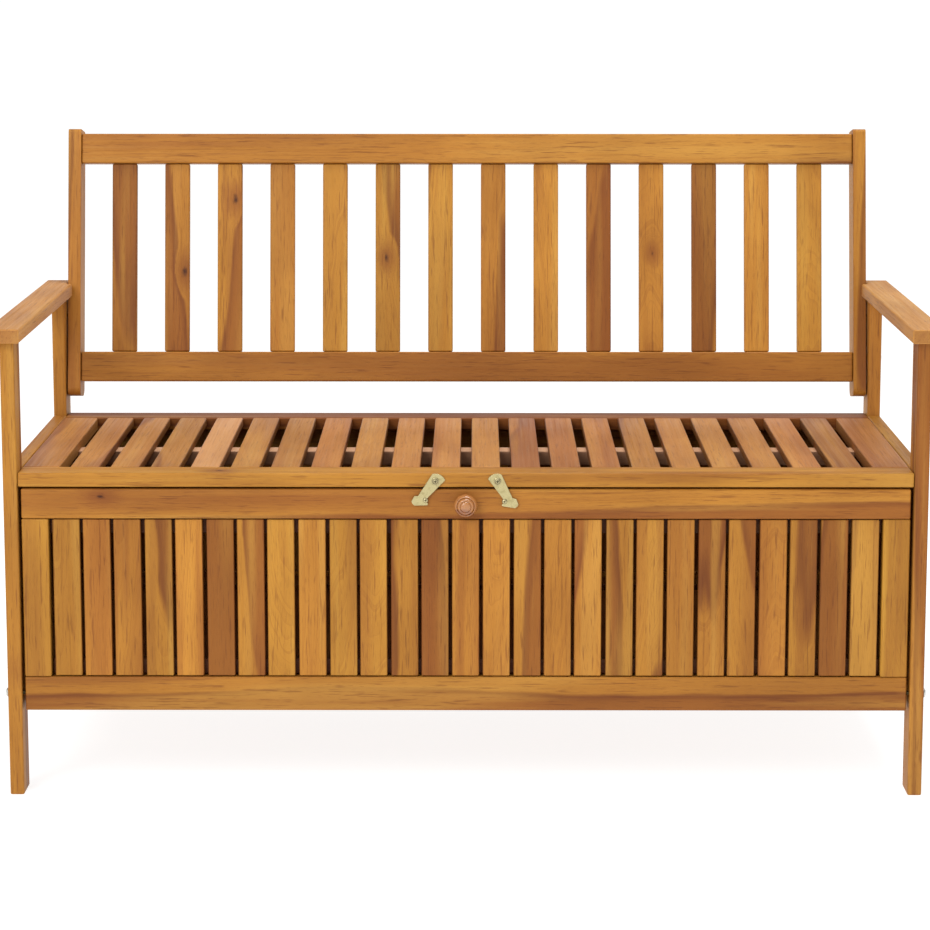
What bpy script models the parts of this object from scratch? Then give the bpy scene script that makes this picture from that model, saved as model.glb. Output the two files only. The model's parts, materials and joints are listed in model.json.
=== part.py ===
"""Slatted hardwood garden bench with a storage box under its seat, in metres, +Z up.

The box opens by a drop-down flap at the front. The flap turns on two bolts through the front legs,
and two hooked latches on the seat's front rail hold it shut. Left is -X and the front is -Y.
"""

import math

import bmesh
import bpy
from mathutils import Matrix, Vector

# Overall
OVERALL_WIDTH = 1.200
OVERALL_HEIGHT = 0.820
FIT_GAP = 0.0003
PLAY_GAP = 0.004
EDGE = 0.0015
LAP = 0.001

# Legs and arms
LEG_THICK = 0.018
LEG_DEPTH = 0.045
LEG_SPAN = 0.493
ARM_HEIGHT = 0.605
ARM_THICK = 0.018
ARM_WIDTH = 0.042
ARM_OVERHANG = 0.015
ARM_FRONT_OVERHANG = 0.014
ARM_REAR_OVERHANG = 0.022

# Seat
SEAT_HEIGHT = 0.420
SEAT_RAIL_THICK = 0.018
SEAT_RAIL_DEPTH = 0.045
SEAT_SETBACK = 0.002
SEAT_END_WIDTH = 0.0466
SEAT_SLAT_COUNT = 20
SEAT_SLOT = 0.0142
SEAT_SLAT_THICK = 0.012
SEAT_BATTEN_DEPTH = 0.031
SEAT_BATTEN_THICK = 0.018

# Box walls and floor
RAIL_HEIGHT = 0.044
RAIL_THICK = 0.018
BOX_BOTTOM = 0.111
WALL_SLAT_GAP = 0.0044
WALL_SLAT_THICK = 0.012
BATTEN_HEIGHT = 0.020
BATTEN_THICK = 0.012
BATTEN_INSET = 0.018
SIDE_SLAT_COUNT = 10
REAR_SLAT_COUNT = 29
FLOOR_SLAT_COUNT = 16
CLOSED_SLAT_GAP = 0.001
FLOOR_SLAT_THICK = 0.012
FLOOR_RAIL_CLEARANCE = 0.001

# Front flap
FLAP_SETBACK = 0.003
FLAP_THICK = 0.022
FLAP_TOP_RAIL = 0.0384
FLAP_STILE = 0.034
FLAP_SLAT_COUNT = 27
FLAP_SLAT_RECESS = 0.002
FLAP_SLAT_END_GAP = 0.0012
FLAP_TOP_GAP = 0.0026
FLAP_PIVOT_IN = 0.008

# Backrest
LEAN = math.radians(10.0)
POST_THICK = 0.018
POST_DEPTH = 0.045
POST_GAP = 0.002
POST_SETBACK = 0.001
POST_FOOT_LIFT = 0.028
POST_FOOT_ROUND = 0.012
POST_HEAD_ROUND = 0.005
POST_TOP_TO_RAIL = 0.0065
BACK_RAIL_HEIGHT = 0.042
BACK_RAIL_THICK = 0.022
BACK_RAIL_RECESS = 0.004
BACK_RAIL_FOOT = 0.0205
BACK_SLAT_COUNT = 14
BACK_SLAT_WIDTH = 0.0350
BACK_END_GAP = 0.0435
BACK_SLAT_THICK = 0.012

# Fasteners. Every bore is BORE_CLEARANCE wider than what runs in it, and runs on past its ends. A head's
# dome is given as shares of the head's radius and height.
BORE_CLEARANCE = 0.0003
BORE_OVERRUN = 0.001
BOLT_RADIUS = 0.003
BOLT_HEAD_RADIUS = 0.006
BOLT_HEAD_HEIGHT = 0.0035
FLAP_BOLT_BITE = 0.030
BACK_BOLT_BITE = 0.014
BACK_BOLT_SHARES = {"lower": 0.37, "upper": 0.80}
SCREW_RADIUS = 0.0017
SCREW_HEAD_RADIUS = 0.0048
SCREW_HEAD_HEIGHT = 0.0018
SCREW_BITE = 0.016
HEAD_DOME = [(0.50, 0.92), (0.85, 0.60), (1.00, 0.25)]
STUD_RADIUS = 0.0019
STUD_HEAD_RADIUS = 0.0033
STUD_HEAD_HEIGHT = 0.0016

# Latches: (down, out) is measured along and across the line from the pivot to the stud. The head's
# centre is counted from the pivot, and the necks, the barb and the hook's tip from the stud.
LATCH_THICK = 0.0015
LATCH_GAP = 0.0005
LATCH_PIVOT_DROP = 0.010
LATCH_REACH = 0.0273
LATCH_NOTCH_RADIUS = STUD_RADIUS + 0.0003
LATCH_PLACES = {"left": (0.0383, 27.0), "right": (0.0403, 19.0)}
LATCH_HEAD_RADIUS = 0.0132
LATCH_HEAD_CENTRE = (0.0029, -0.0014)
LATCH_HEAD_HALF_ANGLE = 43.0
LATCH_OUTER_NECK = (-0.0007, 0.0109)
LATCH_BARB = [(0.0017, 0.0150), (0.0092, 0.0154), (0.0116, 0.0130), (0.0125, 0.0095)]
LATCH_HOOK_TIP = [(0.0049, -0.0046), (0.0039, -0.0050)]
LATCH_MOUTH_ANGLE = 8.0
LATCH_NECK_ANGLE = 2.4
LATCH_INNER_NECK = (-0.0048, -0.0011)

# Knob
KNOB_LENGTH = 0.022
KNOB_BASE_RADIUS = 0.0095
KNOB_NECK_RADIUS = 0.0075
KNOB_NECK_HEIGHT = 0.004
KNOB_RADIUS = 0.0147
KNOB_FLARE_HEIGHT = 0.0095
KNOB_CROWN_STEP = 12
KNOB_GROOVE_ANGLE = 48
KNOB_GROOVE_SCALE = 0.94
KNOB_SCREW_RADIUS = 0.002
KNOB_SCREW_HEAD_RADIUS = 0.004
KNOB_SCREW_HEAD_HEIGHT = 0.002
KNOB_SCREW_BITE = 0.011

# How finely round shapes are made: sides of a turned piece, degrees in one step of an arc, and how near
# two points are welded into one
ROUND_STEPS = 24
ARC_STEP = 11.0
WELD = 1e-6

# Places that follow from the sizes. Y is counted from the front of the front legs.
LEG_OUT = OVERALL_WIDTH / 2 - ARM_OVERHANG
LEG_IN = LEG_OUT - LEG_THICK
ARM_OUT = OVERALL_WIDTH / 2
ARM_IN = ARM_OUT - ARM_WIDTH
ARM_UNDER = ARM_HEIGHT - ARM_THICK
LEG_TOP = ARM_UNDER - FIT_GAP
REAR_LEG_FRONT = LEG_SPAN - LEG_DEPTH
INSIDE = LEG_IN - FIT_GAP
SEAT_UNDER = SEAT_HEIGHT - SEAT_RAIL_THICK
SEAT_REAR_RAIL = REAR_LEG_FRONT - SEAT_RAIL_DEPTH / 2 + SEAT_SETBACK
SEAT_FRONT_RAIL_BACK = SEAT_SETBACK + SEAT_RAIL_DEPTH
BOX_RAIL_TOP = BOX_BOTTOM + RAIL_HEIGHT
SIDE_RAIL_UNDER = SEAT_HEIGHT - RAIL_HEIGHT
REAR_RAIL_TOP = SEAT_UNDER - FIT_GAP
REAR_RAIL_UNDER = REAR_RAIL_TOP - RAIL_HEIGHT
REAR_RAIL_FRONT = REAR_LEG_FRONT + (LEG_DEPTH - RAIL_THICK) / 2
FLAP_OUT = LEG_IN - PLAY_GAP
FLAP_TOP = SEAT_UNDER - FLAP_TOP_GAP
FLAP_FRONT = FLAP_SETBACK
FLAP_BACK = FLAP_SETBACK + FLAP_THICK
FLAP_PIVOT = Vector((0.0, FLAP_FRONT + FLAP_PIVOT_IN, BOX_BOTTOM + RAIL_HEIGHT / 2))
FLAP_SWEEP = math.hypot(FLAP_BACK - FLAP_PIVOT.y, FLAP_PIVOT.z - BOX_BOTTOM)
FLOOR_RAIL_FRONT = max(LEG_DEPTH, FLAP_PIVOT.y + FLAP_SWEEP) + FLOOR_RAIL_CLEARANCE
FLOOR_REAR = REAR_LEG_FRONT - FIT_GAP
POST_FOOT = SEAT_HEIGHT + POST_FOOT_LIFT
POST_FRONT = REAR_LEG_FRONT + POST_SETBACK
POST_OUT = LEG_IN - POST_GAP
POST_IN = POST_OUT - POST_THICK
POST_RISE = OVERALL_HEIGHT - POST_FOOT - POST_HEAD_ROUND * (1 - math.sin(LEAN))
POST_LENGTH = POST_HEAD_ROUND + POST_RISE / math.cos(LEAN)
POST_TOP = POST_FOOT + POST_LENGTH
LATCH_PIVOT_HEIGHT = SEAT_HEIGHT - LATCH_PIVOT_DROP
KNOB_BACK = FLAP_FRONT - FIT_GAP
KNOB_HEIGHT = FLAP_TOP - FLAP_TOP_RAIL / 2
FRONT_MOST = min(-ARM_FRONT_OVERHANG, KNOB_BACK - KNOB_LENGTH)
POST_HEAD_BACK = (POST_LENGTH - POST_HEAD_ROUND) * math.sin(LEAN) + POST_HEAD_ROUND
REAR_MOST = POST_FRONT + POST_HEAD_BACK + (POST_DEPTH - POST_HEAD_ROUND) * math.cos(LEAN)
MIDDLE = Vector((0.0, -(FRONT_MOST + REAR_MOST) / 2, 0.0))

SIDES = {"left": -1, "right": 1}


def clear_scene():
    for thing in list(bpy.data.objects):
        bpy.data.objects.remove(thing)


def make_material(name, colour, roughness, metallic=0.0):
    material = bpy.data.materials.new(name)
    material.use_nodes = True
    shader = material.node_tree.nodes["Principled BSDF"]
    shader.inputs["Base Color"].default_value = (*colour, 1.0)
    shader.inputs["Roughness"].default_value = roughness
    shader.inputs["Metallic"].default_value = metallic
    material.diffuse_color = (*colour, 1.0)
    return material


def add_object(name, mesh, material, place=(0, 0, 0)):
    """An object at a place given from the front of the front legs."""
    obj = bpy.data.objects.new(name, mesh)
    bpy.context.collection.objects.link(obj)
    obj.location = Vector(place) + MIDDLE
    if material:
        mesh.materials.append(material)
    return obj


def hang(obj, parent):
    """Gives obj a parent and leaves it where it is."""
    obj.parent = parent
    obj.matrix_parent_inverse = parent.matrix_basis.inverted()


def box_into(mesh_data, low, high, centre):
    found = bmesh.ops.create_cube(mesh_data, size=1.0)
    size = [b - a for a, b in zip(low, high)]
    middle = (Vector(low) + Vector(high)) / 2 - centre
    bmesh.ops.scale(mesh_data, vec=size, verts=found["verts"])
    bmesh.ops.translate(mesh_data, vec=middle, verts=found["verts"])


def boxes_mesh(name, boxes, centre):
    work = bmesh.new()
    for low, high in boxes:
        box_into(work, low, high, centre)
    mesh = bpy.data.meshes.new(name)
    work.to_mesh(mesh)
    work.free()
    return mesh


def ease_edges(obj):
    ease = obj.modifiers.new("Eased edges", "BEVEL")
    ease.width = EDGE
    ease.segments = 1


def board(name, low, high, material):
    """A straight board between two corners, with its edges eased."""
    centre = (Vector(low) + Vector(high)) / 2
    obj = add_object(name, boxes_mesh(name, [(low, high)], centre), material, centre)
    ease_edges(obj)
    return obj


def lattice(name, slats, battens, material):
    """Slats joined by the battens that cross them, which lap into them."""
    centre = Vector(battens[0][0])
    panel = add_object(name, boxes_mesh(name, battens, centre), material, centre)
    others = add_object(name + "_slats", boxes_mesh(name + "_slats", slats, centre), None, centre)
    hide_helper(others)
    join = panel.modifiers.new("Slats", "BOOLEAN")
    join.operation = "UNION"
    join.solver = "EXACT"
    join.object = others
    return panel


def hide_helper(obj):
    obj.hide_render = True
    obj.display_type = "WIRE"


def prism(name, outline, axis, start, end, material, place=(0, 0, 0)):
    """Extrudes a flat outline along X, Y or Z. The outline's points hold the other two axes in order."""
    work = bmesh.new()
    index = "XYZ".index(axis)
    corners = []
    for point in outline:
        values = list(point)
        values.insert(index, start)
        corners.append(work.verts.new(values))
    face = work.faces.new(corners)
    moved = bmesh.ops.extrude_face_region(work, geom=[face])["geom"]
    shift = Vector([end - start if i == index else 0.0 for i in range(3)])
    bmesh.ops.translate(work, vec=shift, verts=[v for v in moved if isinstance(v, bmesh.types.BMVert)])
    bmesh.ops.recalc_face_normals(work, faces=work.faces)
    mesh = bpy.data.meshes.new(name)
    work.to_mesh(mesh)
    work.free()
    return add_object(name, mesh, material, place)


def turned(name, profile, towards, place, material):
    """Spins (radius, height) points about the direction that the height is measured along."""
    work = bmesh.new()
    rim = [work.verts.new((radius, 0.0, height)) for radius, height in profile]
    edges = [work.edges.new(pair) for pair in zip(rim, rim[1:])]
    bmesh.ops.spin(
        work,
        geom=rim + edges,
        axis=(0, 0, 1),
        cent=(0, 0, 0),
        angle=2 * math.pi,
        steps=ROUND_STEPS,
    )
    bmesh.ops.remove_doubles(work, verts=work.verts, dist=WELD)
    bmesh.ops.recalc_face_normals(work, faces=work.faces)
    turn = Vector((0, 0, 1)).rotation_difference(Vector(towards)).to_matrix()
    bmesh.ops.rotate(work, matrix=turn, cent=(0, 0, 0), verts=work.verts)
    for face in work.faces:
        face.smooth = True
    mesh = bpy.data.meshes.new(name)
    work.to_mesh(mesh)
    work.free()
    return add_object(name, mesh, material, place)


def arc(centre, radius, start, end):
    """Points on an arc, with angles in degrees."""
    steps = max(2, round(abs(end - start) / ARC_STEP))
    turns = [math.radians(start + (end - start) * i / steps) for i in range(steps + 1)]
    return [(centre[0] + radius * math.cos(a), centre[1] + radius * math.sin(a)) for a in turns]


def bore(target, pin_radius, start, end):
    """Cuts the hole for a pin that runs between two places. The hole is longer at both ends."""
    run = Vector(end) - Vector(start)
    first = Vector(start) - run.normalized() * BORE_OVERRUN
    radius = pin_radius + BORE_CLEARANCE
    length = run.length + 2 * BORE_OVERRUN
    profile = [(0, 0), (radius, 0), (radius, length), (0, length)]
    cutter = turned(target.name + "_bore", profile, run.normalized(), first, None)
    hide_helper(cutter)
    if target.parent:
        hang(cutter, target.parent)
    cut = target.modifiers.new("Bore", "BOOLEAN")
    cut.operation = "DIFFERENCE"
    cut.solver = "EXACT"
    cut.object = cutter


def spread(count, width, gap):
    """(low, high) of equal strips side by side, centred on zero."""
    pitch = width + gap
    first = -(count - 1) * pitch / 2
    return [(first + i * pitch - width / 2, first + i * pitch + width / 2) for i in range(count)]


def build_legs(wood):
    legs = {}
    for side, sign in SIDES.items():
        x_low, x_high = sorted((sign * LEG_IN, sign * LEG_OUT))
        for end, y in (("front", 0.0), ("rear", REAR_LEG_FRONT)):
            low = (x_low, y, 0.0)
            high = (x_high, y + LEG_DEPTH, LEG_TOP)
            legs[end, side] = board(f"{end}_leg_{side}", low, high, wood)
    return legs


def build_arms(wood):
    """Each arm is notched at the rear, on its inner side, around the leaning post."""
    rise = ARM_UNDER - POST_FOOT
    notch_front = POST_FRONT + rise * math.tan(LEAN) - PLAY_GAP
    notch_side = POST_OUT + POST_GAP / 2
    rear = LEG_SPAN + ARM_REAR_OVERHANG
    for side, sign in SIDES.items():
        outline = [
            (sign * ARM_IN, -ARM_FRONT_OVERHANG),
            (sign * ARM_OUT, -ARM_FRONT_OVERHANG),
            (sign * ARM_OUT, rear),
            (sign * notch_side, rear),
            (sign * notch_side, notch_front),
            (sign * ARM_IN, notch_front),
        ]
        ease_edges(prism(f"armrest_{side}", outline, "Z", ARM_UNDER, ARM_HEIGHT, wood))


def build_side_walls(wood):
    y_low = LEG_DEPTH + FIT_GAP
    y_high = REAR_LEG_FRONT - FIT_GAP
    slat_low = BOX_RAIL_TOP + FIT_GAP
    slat_high = SIDE_RAIL_UNDER - FIT_GAP
    for side, sign in SIDES.items():
        x_low, x_high = sorted((sign * LEG_IN, sign * LEG_OUT))
        top = ((x_low, y_low, SIDE_RAIL_UNDER), (x_high, y_high, SEAT_HEIGHT))
        bottom = ((x_low, y_low, BOX_BOTTOM), (x_high, y_high, BOX_RAIL_TOP))
        board(f"side_top_rail_{side}", *top, wood)
        board(f"side_bottom_rail_{side}", *bottom, wood)
        wall_out = LEG_OUT - (LEG_THICK - WALL_SLAT_THICK) / 2
        wall_in = wall_out - WALL_SLAT_THICK
        slat_x = sorted((sign * wall_in, sign * wall_out))
        batten_x = sorted((sign * (wall_in - BATTEN_THICK), sign * (wall_in + LAP)))
        middle = (y_low + y_high) / 2
        slat_width = (y_high - y_low - WALL_SLAT_GAP) / SIDE_SLAT_COUNT - WALL_SLAT_GAP
        strips = spread(SIDE_SLAT_COUNT, slat_width, WALL_SLAT_GAP)
        slats = [
            ((slat_x[0], middle + a, slat_low), (slat_x[1], middle + b, slat_high))
            for a, b in strips
        ]
        battens = [
            ((batten_x[0], y_low, z), (batten_x[1], y_high, z + BATTEN_HEIGHT))
            for z in (slat_low + BATTEN_INSET, slat_high - BATTEN_INSET - BATTEN_HEIGHT)
        ]
        lattice(f"side_slat_panel_{side}", slats, battens, wood)


def build_rear_wall(wood):
    rear = REAR_RAIL_FRONT + RAIL_THICK
    top = ((-INSIDE, REAR_RAIL_FRONT, REAR_RAIL_UNDER), (INSIDE, rear, REAR_RAIL_TOP))
    bottom = ((-INSIDE, REAR_RAIL_FRONT, BOX_BOTTOM), (INSIDE, rear, BOX_RAIL_TOP))
    board("rear_top_rail", *top, wood)
    board("rear_bottom_rail", *bottom, wood)
    slat_low = BOX_RAIL_TOP + FIT_GAP
    slat_high = REAR_RAIL_UNDER - FIT_GAP
    wall_front = REAR_RAIL_FRONT + (RAIL_THICK - WALL_SLAT_THICK) / 2
    wall_rear = wall_front + WALL_SLAT_THICK
    slat_width = (2 * INSIDE + CLOSED_SLAT_GAP) / REAR_SLAT_COUNT - CLOSED_SLAT_GAP
    slats = [
        ((a, wall_front, slat_low), (b, wall_rear, slat_high))
        for a, b in spread(REAR_SLAT_COUNT, slat_width, CLOSED_SLAT_GAP)
    ]
    battens = [
        ((-INSIDE, wall_front - BATTEN_THICK, z), (INSIDE, wall_front + LAP, z + BATTEN_HEIGHT))
        for z in (slat_low + BATTEN_INSET, slat_high - BATTEN_INSET - BATTEN_HEIGHT)
    ]
    lattice("rear_slat_panel", slats, battens, wood)


def build_floor(wood):
    rear_rail = FLOOR_REAR - RAIL_THICK
    front_rail = FLOOR_RAIL_FRONT
    for name, y in (("floor_front_rail", front_rail), ("floor_rear_rail", rear_rail)):
        board(name, (-INSIDE, y, BOX_BOTTOM), (INSIDE, y + RAIL_THICK, BOX_RAIL_TOP), wood)
    z_low = BOX_RAIL_TOP + FIT_GAP
    slat_width = (2 * INSIDE + CLOSED_SLAT_GAP) / FLOOR_SLAT_COUNT - CLOSED_SLAT_GAP
    slats = [
        ((a, front_rail, z_low), (b, FLOOR_REAR, z_low + FLOOR_SLAT_THICK))
        for a, b in spread(FLOOR_SLAT_COUNT, slat_width, CLOSED_SLAT_GAP)
    ]
    middle = (front_rail + FLOOR_REAR) / 2
    batten = (
        (-INSIDE, middle - SEAT_BATTEN_DEPTH / 2, z_low - BATTEN_THICK),
        (INSIDE, middle + SEAT_BATTEN_DEPTH / 2, z_low + LAP),
    )
    lattice("floor_slat_panel", slats, [batten], wood)


def build_seat(wood):
    """The seat's rails lie flat, and its slats run between them on a batten at the middle."""
    front = ((-INSIDE, SEAT_SETBACK, SEAT_UNDER), (INSIDE, SEAT_FRONT_RAIL_BACK, SEAT_HEIGHT))
    rear_back = SEAT_REAR_RAIL + SEAT_RAIL_DEPTH
    rear = ((-INSIDE, SEAT_REAR_RAIL, SEAT_UNDER), (INSIDE, rear_back, SEAT_HEIGHT))
    front_rail = board("seat_front_rail", *front, wood)
    board("seat_rear_rail", *rear, wood)
    y_low = SEAT_FRONT_RAIL_BACK + FIT_GAP
    y_high = SEAT_REAR_RAIL - FIT_GAP
    end_in = INSIDE - SEAT_END_WIDTH
    for side, sign in SIDES.items():
        x_low, x_high = sorted((sign * end_in, sign * INSIDE))
        low = (x_low, y_low, SEAT_UNDER)
        high = (x_high, y_high, SEAT_HEIGHT)
        board(f"seat_end_board_{side}", low, high, wood)
    slat_width = (2 * end_in - SEAT_SLOT) / SEAT_SLAT_COUNT - SEAT_SLOT
    slat_under = SEAT_HEIGHT - SEAT_SLAT_THICK
    slats = [
        ((a, y_low, slat_under), (b, y_high, SEAT_HEIGHT))
        for a, b in spread(SEAT_SLAT_COUNT, slat_width, SEAT_SLOT)
    ]
    middle = (y_low + y_high) / 2
    batten_end = end_in - FIT_GAP
    batten = (
        (-batten_end, middle - SEAT_BATTEN_DEPTH / 2, slat_under - SEAT_BATTEN_THICK),
        (batten_end, middle + SEAT_BATTEN_DEPTH / 2, slat_under + LAP),
    )
    lattice("seat_slat_panel", slats, [batten], wood)
    return front_rail


def build_flap(wood):
    """The flap's pieces, hung on an empty that lies on the flap's axis."""
    axis = bpy.data.objects.new("flap_axis", None)
    bpy.context.collection.objects.link(axis)
    axis.location = FLAP_PIVOT + MIDDLE
    top_under = FLAP_TOP - FLAP_TOP_RAIL
    top = ((-FLAP_OUT, FLAP_FRONT, top_under), (FLAP_OUT, FLAP_BACK, FLAP_TOP))
    bottom = ((-FLAP_OUT, FLAP_FRONT, BOX_BOTTOM), (FLAP_OUT, FLAP_BACK, BOX_RAIL_TOP))
    top_rail = board("flap_top_rail", *top, wood)
    bottom_rail = board("flap_bottom_rail", *bottom, wood)
    stile_low = BOX_RAIL_TOP + FIT_GAP
    stile_high = top_under - FIT_GAP
    stile_in = FLAP_OUT - FLAP_STILE
    pieces = [top_rail, bottom_rail]
    for side, sign in SIDES.items():
        x_low, x_high = sorted((sign * stile_in, sign * FLAP_OUT))
        low = (x_low, FLAP_FRONT, stile_low)
        high = (x_high, FLAP_BACK, stile_high)
        pieces.append(board(f"flap_stile_{side}", low, high, wood))
    slat_width = (2 * stile_in - WALL_SLAT_GAP) / FLAP_SLAT_COUNT - WALL_SLAT_GAP
    slat_front = FLAP_FRONT + FLAP_SLAT_RECESS
    slat_back = slat_front + WALL_SLAT_THICK
    slat_low = BOX_RAIL_TOP + FLAP_SLAT_END_GAP
    slat_high = top_under - FLAP_SLAT_END_GAP
    slats = [
        ((a, slat_front, slat_low), (b, slat_back, slat_high))
        for a, b in spread(FLAP_SLAT_COUNT, slat_width, WALL_SLAT_GAP)
    ]
    batten_end = stile_in - FIT_GAP
    battens = [
        ((-batten_end, slat_back - LAP, z), (batten_end, FLAP_BACK, z + BATTEN_HEIGHT))
        for z in (slat_low, slat_high - BATTEN_HEIGHT)
    ]
    pieces.append(lattice("flap_slat_panel", slats, battens, wood))
    for piece in pieces:
        hang(piece, axis)
    return axis, top_rail, bottom_rail


def screw(name, place, towards, sizes, length, material):
    """A domed screw or bolt. Place is under its head, and sizes are shank and head radius and head height."""
    radius, head_radius, head_height = sizes
    profile = [(0, -head_height)]
    profile += [(wide * head_radius, -high * head_height) for wide, high in HEAD_DOME]
    profile += [(head_radius, 0), (radius, 0), (radius, length), (0, length)]
    return turned(name, profile, towards, place, material)


def build_knob(wood, steel, axis, top_rail):
    """A turned knob, held by a screw from inside the flap."""
    profile = [(0, 0), (KNOB_BASE_RADIUS, 0), (KNOB_NECK_RADIUS, KNOB_NECK_HEIGHT)]
    crown = KNOB_LENGTH - KNOB_FLARE_HEIGHT
    for angle in range(0, 90, KNOB_CROWN_STEP):
        scale = KNOB_GROOVE_SCALE if angle == KNOB_GROOVE_ANGLE else 1.0
        turn = math.radians(angle)
        height = KNOB_FLARE_HEIGHT + scale * crown * math.sin(turn)
        profile.append((scale * KNOB_RADIUS * math.cos(turn), height))
    profile.append((0, KNOB_LENGTH))
    knob = turned("knob", profile, (0, -1, 0), (0, KNOB_BACK, KNOB_HEIGHT), wood)
    under_head = FLAP_BACK + FIT_GAP
    tip = KNOB_BACK - KNOB_SCREW_BITE
    sizes = (KNOB_SCREW_RADIUS, KNOB_SCREW_HEAD_RADIUS, KNOB_SCREW_HEAD_HEIGHT)
    place = (0, under_head, KNOB_HEIGHT)
    knob_screw = screw("knob_screw", place, (0, -1, 0), sizes, under_head - tip, steel)
    for piece in (knob, knob_screw):
        hang(piece, axis)
    for piece in (knob, top_rail):
        bore(piece, KNOB_SCREW_RADIUS, place, (0, tip, KNOB_HEIGHT))


def build_flap_bolts(steel, legs, bottom_rail):
    """The bolts that the flap turns on stay with the legs."""
    sizes = (BOLT_RADIUS, BOLT_HEAD_RADIUS, BOLT_HEAD_HEIGHT)
    length = LEG_THICK + PLAY_GAP + FLAP_BOLT_BITE
    for side, sign in SIDES.items():
        start = Vector((sign * (LEG_OUT + FIT_GAP), FLAP_PIVOT.y, FLAP_PIVOT.z))
        towards = Vector((-sign, 0, 0))
        screw(f"flap_pivot_bolt_{side}", start, towards, sizes, length, steel)
        end = start + towards * length
        bore(legs["front", side], BOLT_RADIUS, start, end)
        bore(bottom_rail, BOLT_RADIUS, start, end)


def build_backrest(wood):
    """The backrest is modelled upright and then tilted about the foot of its posts."""
    foot = bpy.data.objects.new("backrest_tilt", None)
    bpy.context.collection.objects.link(foot)
    foot.location = Vector((0, POST_FRONT, POST_FOOT)) + MIDDLE
    post_back = POST_FRONT + POST_DEPTH
    low = POST_FOOT + POST_FOOT_ROUND
    high = POST_TOP - POST_HEAD_ROUND
    outline = arc((POST_FRONT + POST_FOOT_ROUND, low), POST_FOOT_ROUND, 180, 270)
    outline += arc((post_back - POST_FOOT_ROUND, low), POST_FOOT_ROUND, 270, 360)
    outline += arc((post_back - POST_HEAD_ROUND, high), POST_HEAD_ROUND, 0, 90)
    outline += arc((POST_FRONT + POST_HEAD_ROUND, high), POST_HEAD_ROUND, 90, 180)
    posts = {}
    for side, sign in SIDES.items():
        x_low, x_high = sorted((sign * POST_IN, sign * POST_OUT))
        posts[side] = prism(f"back_post_{side}", outline, "X", x_low, x_high, wood)
    rail_end = POST_IN - FIT_GAP
    rail_front = POST_FRONT + BACK_RAIL_RECESS
    rail_back = rail_front + BACK_RAIL_THICK
    lower = POST_FOOT + BACK_RAIL_FOOT
    upper = POST_TOP - POST_TOP_TO_RAIL - BACK_RAIL_HEIGHT
    pieces = list(posts.values())
    for name, z in (("back_bottom_rail", lower), ("back_top_rail", upper)):
        rail = ((-rail_end, rail_front, z), (rail_end, rail_back, z + BACK_RAIL_HEIGHT))
        pieces.append(board(name, *rail, wood))
    slat_low = lower + BACK_RAIL_HEIGHT + FIT_GAP
    slat_high = upper - FIT_GAP
    slat_front = rail_front + (BACK_RAIL_THICK - BACK_SLAT_THICK) / 2
    slat_back = slat_front + BACK_SLAT_THICK
    outer = POST_IN - BACK_END_GAP
    pitch = (2 * outer - BACK_SLAT_WIDTH) / (BACK_SLAT_COUNT - 1)
    strips = spread(BACK_SLAT_COUNT, BACK_SLAT_WIDTH, pitch - BACK_SLAT_WIDTH)
    for number, (a, b) in enumerate(strips, 1):
        slat = ((a, slat_front, slat_low), (b, slat_back, slat_high))
        pieces.append(board(f"back_slat_{number:02d}", *slat, wood))
    for piece in pieces:
        hang(piece, foot)
    foot.rotation_euler.x = -LEAN
    return posts


def build_back_bolts(steel, legs, posts):
    """Two bolts on each side hold a post to its rear leg where they overlap, between their middles."""
    sizes = (BOLT_RADIUS, BOLT_HEAD_RADIUS, BOLT_HEAD_HEIGHT)
    length = LEG_THICK + POST_GAP + BACK_BOLT_BITE
    leg_middle = REAR_LEG_FRONT + LEG_DEPTH / 2
    for level, share in BACK_BOLT_SHARES.items():
        height = POST_FOOT + share * (LEG_TOP - POST_FOOT)
        slope = (height - POST_FOOT) * math.tan(LEAN)
        post_middle = POST_FRONT + slope + POST_DEPTH / 2 / math.cos(LEAN)
        y = (leg_middle + post_middle) / 2
        for side, sign in SIDES.items():
            start = Vector((sign * (LEG_OUT + FIT_GAP), y, height))
            towards = Vector((-sign, 0, 0))
            screw(f"back_bolt_{level}_{side}", start, towards, sizes, length, steel)
            end = start + towards * length
            bore(legs["rear", side], BOLT_RADIUS, start, end)
            bore(posts[side], BOLT_RADIUS, start, end)


def latch_outline():
    """(down, out) points round the plate: its head, the barb, the hook and the notch that holds the stud."""
    seat = (LATCH_REACH, 0)
    far = LATCH_REACH + LATCH_NOTCH_RADIUS
    near = LATCH_REACH - LATCH_NOTCH_RADIUS
    outline = arc(
        LATCH_HEAD_CENTRE,
        LATCH_HEAD_RADIUS,
        180 + LATCH_HEAD_HALF_ANGLE,
        180 - LATCH_HEAD_HALF_ANGLE,
    )
    corners = [LATCH_OUTER_NECK, *LATCH_BARB, *LATCH_HOOK_TIP]
    outline += [(LATCH_REACH + down, out) for down, out in corners]
    outline += arc((0, 0), far, -LATCH_MOUTH_ANGLE, 0)
    outline += arc(seat, LATCH_NOTCH_RADIUS, 0, 180)[1:]
    outline += arc((0, 0), near, 0, -LATCH_NECK_ANGLE)[1:]
    outline.append((LATCH_REACH + LATCH_INNER_NECK[0], LATCH_INNER_NECK[1]))
    return outline


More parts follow.
